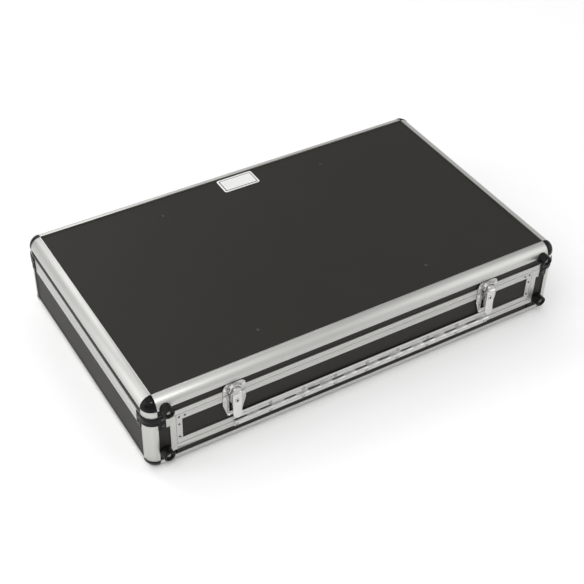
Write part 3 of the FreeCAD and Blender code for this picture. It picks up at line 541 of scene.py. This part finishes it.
def makeFrontFoot():
    # stands at the origin on the front board, pointing along -Y
    size = footSizes
    foot = addRound("footMaster", size["radius"], (0, size["root"], 0), (0, -size["height"], 0), 48)
    near = 0.0002  # how close to the face or a rim still counts as on it
    face = -size["height"] + near
    chooseFaces(foot, lambda c, n: n.y < -0.9)
    bpy.ops.mesh.inset(thickness=size["radius"] - size["mouth"])
    bpy.ops.mesh.inset(thickness=0.0005, depth=-size["sink"] * 0.9)
    bpy.ops.mesh.inset(thickness=0.0002, depth=-size["sink"] * 0.1)
    leaveEdit()
    chooseEdges(foot, lambda a, b: max(a.y, b.y) < face
                and min(a.xz.length, b.xz.length) > size["radius"] - near)
    bpy.ops.mesh.bevel(offset=size["rim"], segments=4)
    leaveEdit()
    chooseEdges(foot, lambda a, b: max(a.y, b.y) < face
                and max(a.xz.length, b.xz.length) < size["mouth"] + near)
    bpy.ops.mesh.bevel(offset=size["mouthRound"], segments=2)
    leaveEdit()
    bpy.ops.object.shade_smooth_by_angle(angle=smoothAngle)
    return foot


screwSizes = {"slot": 0.0007, "slotFor": 0.0035, "reach": 0.62, "sink": 0.35}


def makeCrossScrew(name, radius, height):
    # a domed head at the origin pointing along +Z, with a cross recess
    clearSelection()
    bpy.ops.mesh.primitive_uv_sphere_add(segments=24, ring_count=14, radius=radius)
    head = named(name)
    bpy.ops.object.mode_set(mode="EDIT")
    bpy.ops.mesh.select_all(action="SELECT")
    bpy.ops.mesh.bisect(plane_co=(0, 0, radius * 0.25), plane_no=(0, 0, 1), clear_inner=True,
                        use_fill=True)
    bpy.ops.mesh.select_all(action="SELECT")
    bpy.ops.transform.translate(value=(0, 0, -radius * 0.25))
    bpy.ops.mesh.select_all(action="SELECT")
    bpy.ops.transform.resize(value=(1.03, 1.03, height / (radius * 0.75)),
                             center_override=(0, 0, 0))
    bpy.ops.object.mode_set(mode="OBJECT")
    chooseFaces(head, lambda c, n: n.z < -0.9)
    bpy.ops.mesh.extrude_region_move(TRANSFORM_OT_translate={"value": (0, 0, -height * 0.5)})
    leaveEdit()
    half = radius * screwSizes["reach"]
    wide = screwSizes["slot"] / 2 * radius / screwSizes["slotFor"]
    low = height * (1 - screwSizes["sink"] * 1.6)
    for across in ((half, wide), (wide, half)):
        cutter = addBlock("crossCutter", (-across[0], -across[1], low),
                          (across[0], across[1], height * 2))
        cutWith(head, cutter)
    pickOnly(head)
    bpy.ops.object.shade_smooth_by_angle(angle=math.radians(35))
    return head


def headAt(low, high):
    # where a fastener's head stands: its centre, outward direction, radius and height of face
    size = high - low
    order = sorted(range(3), key=lambda k: abs(size[(k + 1) % 3] - size[(k + 2) % 3]))
    axis = order[0]
    middle = (low + high) / 2
    centre = Vector((0, 0, (cadLow.z + cadHigh.z) / 2))
    sign = 1 if middle[axis] > centre[axis] else -1
    out = Vector([sign if k == axis else 0 for k in range(3)])
    top = middle.copy()
    top[axis] = high[axis] if sign > 0 else low[axis]
    return top, out, size[(axis + 1) % 3] / 2


def standing(top, out, turn=0.0):
    return Matrix.Translation(top) @ out.to_track_quat("Z", "Y").to_matrix().to_4x4() \
        @ Matrix.Rotation(turn, 4, "Z")


footMaster = makeFrontFoot()
for node, name in (("front_feet_upper", "frontFeetUpper"), ("front_feet_lower", "frontFeetLower")):
    feet = []
    for low, high in looseBoxes(node):
        middle = (low + high) / 2
        root = (middle.x, high.y - footSizes["root"], middle.z)
        feet.append(copied(footMaster, name, Matrix.Translation(root)))
    finished(joinedAs(name, feet), bodyOf(node), rubber, [node])
bpy.data.objects.remove(footMaster)

fastenerNodes = {
    "upper_foot_screws": ("footScrewsUpper", "cross"),
    "lower_foot_screws": ("footScrewsLower", "cross"),
    "lid_screws": ("lidScrews", "cross"),
    "piano_hinge_upper_screws": ("hingeScrewsUpper", "cross"),
    "piano_hinge_lower_screws": ("hingeScrewsLower", "cross"),
    "lid_rivets": ("lidRivets", "rivet"), "base_rivets": ("baseRivets", "rivet"),
    "flap_rivets": ("flapRivets", "rivet"),
}
headHeights = {"cross": 0.0013, "rivet": 0.0009}
headTurn = {"start": 0.35, "step": 1.7}  # no two heads stop at the same angle
# rivets past these distances sit on black plastic and have dark heads
bandLimits = {"out": 0.345, "fromSplit": 0.012, "flapOut": 0.3}
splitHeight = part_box("base_corner_posts")[1].z


def makeRivet(name, radius, height):
    # a low dome with the small dimple its pin leaves
    clearSelection()
    bpy.ops.mesh.primitive_cylinder_add(vertices=20, radius=radius, depth=height * 0.5,
                                        location=(0, 0, height * 0.25))
    head = placed(named(name))
    chooseFaces(head, lambda c, n: n.z > 0.9)
    for step, rise in ((0.16, 0.26), (0.2, 0.16), (0.22, 0.08)):
        bpy.ops.mesh.inset(thickness=radius * step, depth=height * rise)
    bpy.ops.mesh.inset(thickness=radius * 0.06, depth=-height * 0.3)
    leaveEdit()
    chooseFaces(head, lambda c, n: n.z < -0.9)
    bpy.ops.mesh.extrude_region_move(TRANSFORM_OT_translate={"value": (0, 0, -height * 0.4)})
    leaveEdit()
    bpy.ops.object.shade_smooth_by_angle(angle=math.radians(50))
    return head


for node, (name, kind) in fastenerNodes.items():
    boxes = looseBoxes(node)
    masters, heads, bandHeads = {}, [], []
    for count, (low, high) in enumerate(boxes):
        top, out, radius = headAt(low, high)
        key = round(radius, 5)
        if key not in masters:
            make = makeCrossScrew if kind == "cross" else makeRivet
            masters[key] = make("head" + name, radius, headHeights[kind])
        place = standing(top - out * headHeights[kind], out,
                         headTurn["start"] + headTurn["step"] * count)
        atCorner = (abs(top.x) > bandLimits["out"]
                    and abs(top.z - splitHeight) < bandLimits["fromSplit"])
        atFlapEnd = node == "flap_rivets" and abs(top.x) > bandLimits["flapOut"]
        onBand = kind == "rivet" and (atCorner or atFlapEnd)
        (bandHeads if onBand else heads).append(copied(masters[key], name + "Part", place))
    for master in masters.values():
        bpy.data.objects.remove(master)
    if heads:
        finished(joinedAs(name, heads), bodyOf(node), finishOf(node), [node])
    if bandHeads:
        finished(joinedAs(name + "Bands", bandHeads), bodyOf(node), darkScrew,
                 [node])
print("feet, screws and rivets placed")


# loop carpet on the deck, with a hole round each grommet

carpet = {"hole": 0.026, "pile": 0.0026, "rise": 0.0003, "soften": 0.0008, "body": 0.0015,
          "loops": 420, "wear": 22, "top": (0.035, 0.035, 0.036), "root": (0.008, 0.008, 0.008)}
carpetMaterial, carpetTree, carpetShader = newMaterial("loopCarpet", {"specular": 0.2})
carpetPlace = carpetTree.nodes.new("ShaderNodeTexCoord")
carpetLoops = carpetTree.nodes.new("ShaderNodeTexVoronoi")
carpetLoops.inputs["Scale"].default_value = carpet["loops"]
link(carpetTree, carpetPlace.outputs["Object"], carpetLoops.inputs["Vector"])
carpetMarks = carpetTree.nodes.new("ShaderNodeGroup")
carpetMarks.node_tree = handling
carpetMarks.inputs["Broad"].default_value = carpet["wear"]
# loop tops take the top colour, the low roots between loops the darker root colour: painted shade
# between the loops
carpetDepthAndShade = mathNode(carpetTree, "MULTIPLY", carpetLoops.outputs["Distance"], 1.2)
link(carpetTree, mixColours(carpetTree, carpetDepthAndShade, carpet["top"], carpet["root"]),
     carpetShader.inputs["Base Color"])
link(carpetTree, spread(carpetTree, carpetMarks.outputs["Smudge"], 0.85, 0.98),
     carpetShader.inputs["Roughness"])
carpetTop = mathNode(carpetTree, "SUBTRACT", 1.0, carpetDepthAndShade)
bumped(carpetTree, carpetShader, carpetTop, 0.8, 0.0012)

carpetLow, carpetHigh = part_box("deck_carpet")
cloth = addGrid("deckCarpet", carpetLow, carpetHigh, 72, 42)
chooseFaces(cloth, lambda c, n: True)
bpy.ops.mesh.extrude_region_move(TRANSFORM_OT_translate={"value": (0, 0, carpet["pile"])})
bpy.ops.mesh.select_all(action="SELECT")
bpy.ops.mesh.normals_make_consistent(inside=False)
leaveEdit()
for low, high in looseBoxes("cable_grommets"):
    middle = (low + high) / 2
    cutWith(cloth, addRound("holeCutter", carpet["hole"], (middle.x, middle.y, carpetLow.z - 0.01),
                            (middle.x, middle.y, carpetHigh.z + 0.01), 48))
bevelled(cloth, carpet["soften"], 2, 50)
for vertex in cloth.data.vertices:  # a pile never lies quite flat
    if vertex.co.z > carpetLow.z + carpet["body"]:
        wander = math.sin(vertex.co.x * 61) * math.sin(vertex.co.y * 47 + 1.3)
        vertex.co.z -= carpet["rise"] * (0.5 + 0.5 * wander)
finished(cloth, "base", carpetMaterial, ["deck_carpet"])
print("carpet laid")


# convoluted foam in the lid: flat where it is glued, egg-crate towards the deck

foam = {"pitch": 0.05, "wave": 0.0085, "edge": 0.012, "corner": 0.004, "cells": 900, "wear": 14,
        "dark": (0.030, 0.031, 0.033), "light": (0.072, 0.074, 0.078)}
foamMaterial, foamTree, foamShader = newMaterial("greyFoam", {"specular": 0.15})
foamPlace = foamTree.nodes.new("ShaderNodeTexCoord")
foamCells = foamTree.nodes.new("ShaderNodeTexVoronoi")
foamCells.inputs["Scale"].default_value = foam["cells"]
link(foamTree, foamPlace.outputs["Object"], foamCells.inputs["Vector"])
foamMarks = foamTree.nodes.new("ShaderNodeGroup")
foamMarks.node_tree = handling
foamMarks.inputs["Broad"].default_value = foam["wear"]
# darker in the cell pits, painted shade in the pores, plus random tone from the smudges
foamPoreShadeAndTone = mathNode(foamTree, "ADD",
                    mathNode(foamTree, "MULTIPLY", foamCells.outputs["Distance"], 0.9),
                    mathNode(foamTree, "MULTIPLY", foamMarks.outputs["Smudge"], 0.4))
link(foamTree, mixColours(foamTree, foamPoreShadeAndTone, foam["dark"], foam["light"]),
     foamShader.inputs["Base Color"])
link(foamTree, spread(foamTree, foamMarks.outputs["Smudge"], 0.88, 0.98),
     foamShader.inputs["Roughness"])
bumped(foamTree, foamShader, foamCells.outputs["Distance"], 0.5, 0.0006)

foamLow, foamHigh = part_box("lid_foam")
pad = addGrid("lidFoam", foamLow, foamHigh, 112, 64)
chooseFaces(pad, lambda c, n: True)
bpy.ops.mesh.extrude_region_move(TRANSFORM_OT_translate={"value": (0, 0, foamHigh.z - foamLow.z)})
bpy.ops.mesh.select_all(action="SELECT")
bpy.ops.mesh.normals_make_consistent(inside=False)
leaveEdit()
bevelled(pad, foam["corner"], 3, 60)
for vertex in pad.data.vertices:
    co = vertex.co
    depth = (foamHigh.z - co.z) / (foamHigh.z - foamLow.z)
    fromEdge = min(co.x - foamLow.x, foamHigh.x - co.x, co.y - foamLow.y, foamHigh.y - co.y)
    inner = max(0.0, min(1.0, fromEdge / foam["edge"]))
    inner = inner * inner * (3 - 2 * inner)
    wave = (math.sin(co.x * 2 * math.pi / foam["pitch"])
            * math.sin(co.y * 2 * math.pi / foam["pitch"]))
    if depth > 0.6:  # the glued side stays flat
        co.z += depth * inner * foam["wave"] * (0.5 - 0.5 * wave)
pickOnly(pad)
bpy.ops.object.shade_smooth_by_angle(angle=math.radians(60))
finished(pad, "lid", foamMaterial, ["lid_foam"])
print("foam glued in")


# floor feet, grommets, badge and handle grip

stoolFoot = {"dish": 0.0035, "step": 0.0009, "rim": 0.0012}


def floorFoot(low, high):
    middle = (low + high) / 2
    foot = addRound("floorFoot", (high.x - low.x) / 2, (middle.x, middle.y, high.z),
                    (middle.x, middle.y, low.z), 40)
    chooseFaces(foot, lambda c, n: n.z < -0.9)
    bpy.ops.mesh.inset(thickness=stoolFoot["dish"])
    bpy.ops.mesh.inset(thickness=0.0006, depth=-stoolFoot["step"])
    leaveEdit()
    return bevelled(foot, stoolFoot["rim"], 3, 50)


finished(joinedAs("floorFeet", [floorFoot(low, high) for low, high in looseBoxes("floor_feet")]),
         "base", rubber, ["floor_feet"])

grommets = cleanCopy("cable_grommets", "cableGrommets")
bevelled(grommets, 0.0007, 3)
finished(grommets, "base", rubber, ["cable_grommets"])

badge = {"corner": 0.004, "border": 0.0022, "lip": 0.0003, "line": 0.0013, "proud": 0.00025}
badgeLow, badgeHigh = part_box("badge_plate")
plate = addBlock("badgePlate", badgeLow, badgeHigh)
chooseEdges(plate, lambda a, b: abs(a.z - b.z) > 0.001)
bpy.ops.mesh.bevel(offset=badge["corner"], segments=6)
leaveEdit()
chooseFaces(plate, lambda c, n: n.z > 0.9)
bpy.ops.mesh.inset(thickness=badge["border"])
bpy.ops.mesh.inset(thickness=0.0003, depth=-badge["lip"])
leaveEdit()
bevelled(plate, 0.00015, 2, 50)
finished(plate, "lid", badgeMetal, ["badge_plate"])
# a dark painted line round a plain field
inset = badge["border"] + 0.001
fieldLow = badgeLow + Vector((inset, inset, 0))
fieldHigh = badgeHigh - Vector((inset, inset, badge["lip"]))
painted = addBlock("badgeLine", (fieldLow.x, fieldLow.y, fieldHigh.z - 0.0002),
                   (fieldHigh.x, fieldHigh.y, fieldHigh.z + badge["proud"] / 2))
finished(bevelled(painted, 0.00005, 1), "lid", paintedShadeAndPrintBlack)
field = addBlock("badgeField",
                 (fieldLow.x + badge["line"], fieldLow.y + badge["line"], fieldHigh.z),
                 (fieldHigh.x - badge["line"], fieldHigh.y - badge["line"],
                  fieldHigh.z + badge["proud"]))
chooseFaces(field, lambda c, n: n.z > 0.9)
bpy.ops.mesh.inset(thickness=0.0012, depth=-0.0001)
leaveEdit()
finished(bevelled(field, 0.00005, 1), "lid", badgeMetal)

grip = {"grooves": 11, "radius": 0.0016, "sunk": 0.0008, "margin": 0.010, "round": 0.0005,
        "past": 0.002}
gripLow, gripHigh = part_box("handle_grip")
gripPiece = cleanCopy("handle_grip", "handleGrip")
grooves = []
for count in range(grip["grooves"]):
    across = (gripHigh.x - gripLow.x - 2 * grip["margin"]) / (grip["grooves"] - 1)
    x = gripLow.x + grip["margin"] + across * count
    y = gripHigh.y + grip["radius"] - grip["sunk"]
    grooves.append(addRound("groove", grip["radius"], (x, y, gripLow.z - grip["past"]),
                            (x, y, gripHigh.z + grip["past"]), 16))
cutWith(gripPiece, joinedAs("grooveCutter", grooves))
bevelled(gripPiece, grip["round"], 2)
finished(gripPiece, "handle", rubber, ["handle_grip"])
print("small pieces placed")


# painted shade: black keyholes, and black pieces where the latch split, the latch arches, the latch
# levers and the hinge knuckles cast shadow

frontFace = -0.225  # the outer side of the front boards
plateFace = frontFace - 0.0012  # the outer side of the latch plates and hinge leaves

# a black disc and slot on each lock plug: painted shade standing for the depth of the keyhole
keyholeShade = {"round": 0.0018, "lift": 0.0005, "slot": 0.0007, "drop": 0.0027, "proud": 0.00008,
           "sunk": 0.0003}
for side in ("Left", "Right"):
    leverLow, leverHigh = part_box("latch_lever_" + side.lower())
    plugLow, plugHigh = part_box("lock_plug_" + side.lower())
    middle, height = (leverLow.x + leverHigh.x) / 2, (plugLow.z + plugHigh.z) / 2
    front, back = plugLow.y - keyholeShade["proud"], plugLow.y + keyholeShade["sunk"]
    hole = addRound("keyRound", keyholeShade["round"], (middle, back, height + keyholeShade["lift"]),
                    (middle, front, height + keyholeShade["lift"]), 24)
    chooseFaces(hole, lambda c, n: n.y < -0.9)
    bpy.ops.mesh.inset(thickness=0.0003, depth=-0.00005)
    leaveEdit()
    slotPart = addBlock("keySlot", (middle - keyholeShade["slot"], front, height - keyholeShade["drop"]),
                        (middle + keyholeShade["slot"], back, height))
    bevelled(slotPart, 0.00003, 1)
    finished(joinedAs("keyholeShade" + side, [hole, slotPart]), "lock_" + side.lower(), paintedShadeAndPrintBlack)

# black strips behind the split between catch and mount plates: painted shadow in the gap
gapShade = {"half": 0.0185, "low": 0.0001, "tall": 0.0005, "thick": 0.0003, "sunk": 0.00005,
         "round": 0.00005}
gapShades = []
for side in (-1, 1):
    middle = side * middle  # carries over, so both gap shades stand at the left latch
    gapShades.append(bevelled(addBlock(
        "gapShade", (middle - gapShade["half"], frontFace - gapShade["thick"], splitHeight + gapShade["low"]),
        (middle + gapShade["half"], frontFace + gapShade["sunk"], splitHeight + gapShade["tall"])),
        gapShade["round"], 1))
finished(joinedAs("latchGapShades", gapShades), "lid", paintedShadeAndPrintBlack)

# black half discs inside each latch arch: painted shade where the arch hides the plate
archShade = {"radius": 0.009, "thick": 0.00025, "sunk": 0.0002, "lift": 0.0085, "round": 0.0001}
archShades = []
for low, high in looseBoxes("latch_catches"):
    middle, height = (low.x + high.x) / 2, splitHeight + archShade["lift"]
    disc = addRound("archShade", archShade["radius"], (middle, plateFace + archShade["sunk"], height),
                    (middle, plateFace - archShade["thick"], height), 40)
    pickOnly(disc)
    bpy.ops.object.mode_set(mode="EDIT")
    bpy.ops.mesh.select_all(action="SELECT")
    bpy.ops.mesh.bisect(plane_co=(middle, 0, height), plane_no=(0, 0, 1), clear_inner=True,
                        use_fill=True)
    leaveEdit()
    archShades.append(bevelled(disc, archShade["round"], 1))
finished(joinedAs("latchArchShades", archShades), "lid", paintedShadeAndPrintBlack)

# black blocks on the plates under each latch lever: painted shadow along both sides of the lever
leverShade = {"half": 0.0086, "high": -0.0125, "low": -0.034, "front": 0.0021, "round": 0.0003}
leverLow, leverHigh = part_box("latch_lever_right")
leverShadeBlocks = []
for side in (-1, 1):
    middle = side * (leverLow.x + leverHigh.x) / 2
    leverShadeBlocks.append(bevelled(addBlock(
        "leverShadeBlock", (middle - leverShade["half"], frontFace - leverShade["front"],
                 splitHeight + leverShade["low"]),
        (middle + leverShade["half"], plateFace, splitHeight + leverShade["high"])),
        leverShade["round"], 2))
finished(joinedAs("latchLeverShades", leverShadeBlocks), "flap", paintedShadeAndPrintBlack)

# black strips above every other hinge knuckle: painted shadow in the seam between barrel and leaf
knuckleShade = {"knuckles": 22, "rise": 0.0028, "drop": 0.0002, "tall": 0.0012, "thick": 0.0009,
             "clear": 0.0001, "shorter": 0.0008, "round": 0.0001}
hingeLow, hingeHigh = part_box("piano_hinge_upper_leaf")
pinLow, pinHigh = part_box("piano_hinge_pin")
knuckleShadeHeight = (pinLow.z + pinHigh.z) / 2 + knuckleShade["rise"]
knuckle = (hingeHigh.x - hingeLow.x) / knuckleShade["knuckles"]
knuckleShadeStrips = []
for count in range(0, knuckleShade["knuckles"], 2):
    start = hingeLow.x + count * knuckle + knuckleShade["shorter"]
    knuckleShadeStrips.append(bevelled(addBlock(
        "slot", (start, frontFace - knuckleShade["thick"], knuckleShadeHeight - knuckleShade["drop"]),
        (start + knuckle - 2 * knuckleShade["shorter"], frontFace - knuckleShade["clear"],
         knuckleShadeHeight + knuckleShade["tall"])), knuckleShade["round"], 1))
finished(joinedAs("hingeKnuckleShades", knuckleShadeStrips), "flap", paintedShadeAndPrintBlack)

screwRing = {"wider": 1.3, "thick": 0.00025, "band": 0.5, "rise": 0.0001}
for node, name in (("piano_hinge_upper_screws", "hingeRingsUpper"),
                   ("piano_hinge_lower_screws", "hingeRingsLower")):
    rings = []
    for low, high in looseBoxes(node):
        middle, radius = (low + high) / 2, (high.x - low.x) / 2 * screwRing["wider"]
        ring = addRound("ring", radius, (middle.x, plateFace, middle.z),
                        (middle.x, plateFace - screwRing["thick"], middle.z), 24)
        chooseFaces(ring, lambda c, n: n.y < -0.9)
        bpy.ops.mesh.inset(thickness=radius * screwRing["band"], depth=screwRing["rise"])
        leaveEdit()
        rings.append(ring)
    finished(joinedAs(name, rings), bodyOf(node), zinc)
print("keyholeShades and recesses made")


# floor, lights, camera

studio = {"floorShade": 0.93, "floorRough": 0.7, "floorSize": 30, "floorDrop": 0.0002, "sky": 0.68}
floorMaterial, _, floorShader = newMaterial("paleFloor", {"specular": 0.2})
floorShader.inputs["Base Color"].default_value = (*[studio["floorShade"]] * 3, 1)
floorShader.inputs["Roughness"].default_value = studio["floorRough"]
clearSelection()
bpy.ops.mesh.primitive_plane_add(size=studio["floorSize"], location=(0, 0, -studio["floorDrop"]))
studioFloor = named("studioFloor")
studioFloor.data.materials.append(floorMaterial)
studioFloor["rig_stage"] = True

world = bpy.data.worlds.new("studioWorld")
world.use_nodes = True
sky = world.node_tree.nodes["Background"]
sky.inputs["Color"].default_value = (1, 1, 1, 1)
sky.inputs["Strength"].default_value = studio["sky"]
bpy.context.scene.world = world

studioLights = {
    "keyLight": {"place": (-2.2, -0.6, 2.8), "aim": (0, 0, 0.08), "size": 3.4, "power": 30},
    "backLight": {"place": (-0.6, 2.8, 2.4), "aim": (0, 0, 0.1), "size": 2.6, "power": 34},
    "sideLight": {"place": (2.6, -1.6, 1.6), "aim": (0, 0, 0.08), "size": 2.4, "power": 22},
    "lowLight": {"place": (-2.6, 0.5, 0.9), "aim": (0, 0, 0.06), "size": 1.8, "power": 14},
    "sparkLight": {"place": (-0.9, -1.5, 2.1), "aim": (-0.35, -0.2, 0.1), "size": 0.22,
                   "power": 13},
}
for name, light in studioLights.items():
    data = bpy.data.lights.new(name, "AREA")
    data.energy = light["power"]
    data.size = light["size"]
    lamp = bpy.data.objects.new(name, data)
    lamp.location = light["place"]
    aim = Vector(light["aim"]) - lamp.location
    lamp.rotation_euler = aim.to_track_quat("-Z", "Y").to_euler()
    bpy.context.scene.collection.objects.link(lamp)

viewing = {"place": (-0.8297, -1.3455, 1.4010), "heading": 31.715, "tilt": -40.948,
           "lean": 1.491, "lens": 75.84}
heading, tilt, lean = (math.radians(viewing[k]) for k in ("heading", "tilt", "lean"))
forward = Vector((math.sin(heading) * math.cos(tilt), math.cos(heading) * math.cos(tilt),
                  math.sin(tilt)))
level = forward.cross(Vector((0, 0, 1))).normalized()
upward = level.cross(forward)
cameraX = level * math.cos(lean) + upward * math.sin(lean)
cameraY = upward * math.cos(lean) - level * math.sin(lean)
cameraData = bpy.data.cameras.new("studioCamera")
cameraData.lens = viewing["lens"]
cameraData.sensor_width = 36
cameraData.clip_start = 0.05
studioCamera = bpy.data.objects.new("studioCamera", cameraData)
studioCamera.matrix_world = Matrix.Translation(viewing["place"]) \
    @ Matrix((cameraX, cameraY, -forward)).transposed().to_4x4()
bpy.context.scene.collection.objects.link(studioCamera)
bpy.context.scene.camera = studioCamera
bpy.context.scene.view_settings.view_transform = "Standard"
bpy.context.scene.view_settings.look = "None"
print("studio set")

low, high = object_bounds()
